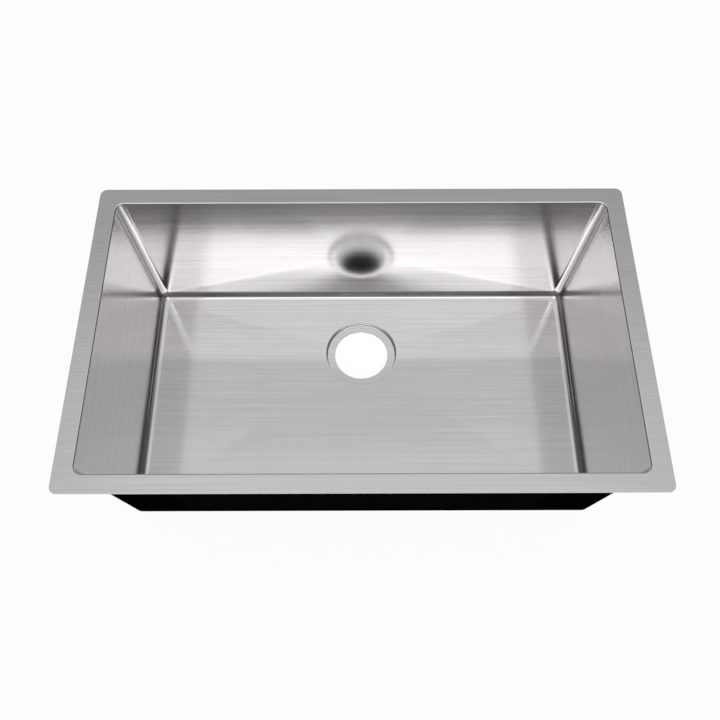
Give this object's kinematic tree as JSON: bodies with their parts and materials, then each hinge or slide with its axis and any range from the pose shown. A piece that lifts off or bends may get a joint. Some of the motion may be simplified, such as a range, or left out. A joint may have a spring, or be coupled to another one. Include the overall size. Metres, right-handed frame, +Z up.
{
  "type": "undermount kitchen sink",
  "caption": "Deep single-bowl sink welded from brushed sheet steel, with a flat rim that seats under a worktop, a creased floor and a recessed drain hole near the back.",
  "frame": {"origin": "centre of the rim's top face, which seats against the underside of the worktop", "axes": "+X along the width to the right, +Y from the front to the back, +Z up out of the bowl"},
  "size_m": [0.762, 0.4572, 0.2685],
  "materials": {
    "rim_steel": "brushed along the width, satin",
    "bowl_steel": "finely brushed, satin",
    "undercoat": "sprayed, matt, slightly stippled",
    "pad_rubber": "matt moulded rubber"
  },
  "bodies": {
    "root": {"rim_frame": "rim_steel", "back_wall": "bowl_steel", "front_wall": "bowl_steel", "left_wall": "bowl_steel", "right_wall": "bowl_steel", "back_left_corner": "bowl_steel", "back_right_corner": "bowl_steel", "front_left_corner": "bowl_steel", "front_right_corner": "bowl_steel", "floor_pan": "bowl_steel", "back_undercoat": "undercoat", "front_undercoat": "undercoat", "left_undercoat": "undercoat", "right_undercoat": "undercoat", "floor_undercoat": "undercoat", "back_wall_pad": "pad_rubber", "front_wall_pad": "pad_rubber", "left_wall_pad": "pad_rubber", "right_wall_pad": "pad_rubber", "front_floor_pad": "pad_rubber", "left_floor_pad": "pad_rubber", "right_floor_pad": "pad_rubber"}
  },
  "joints": []
}
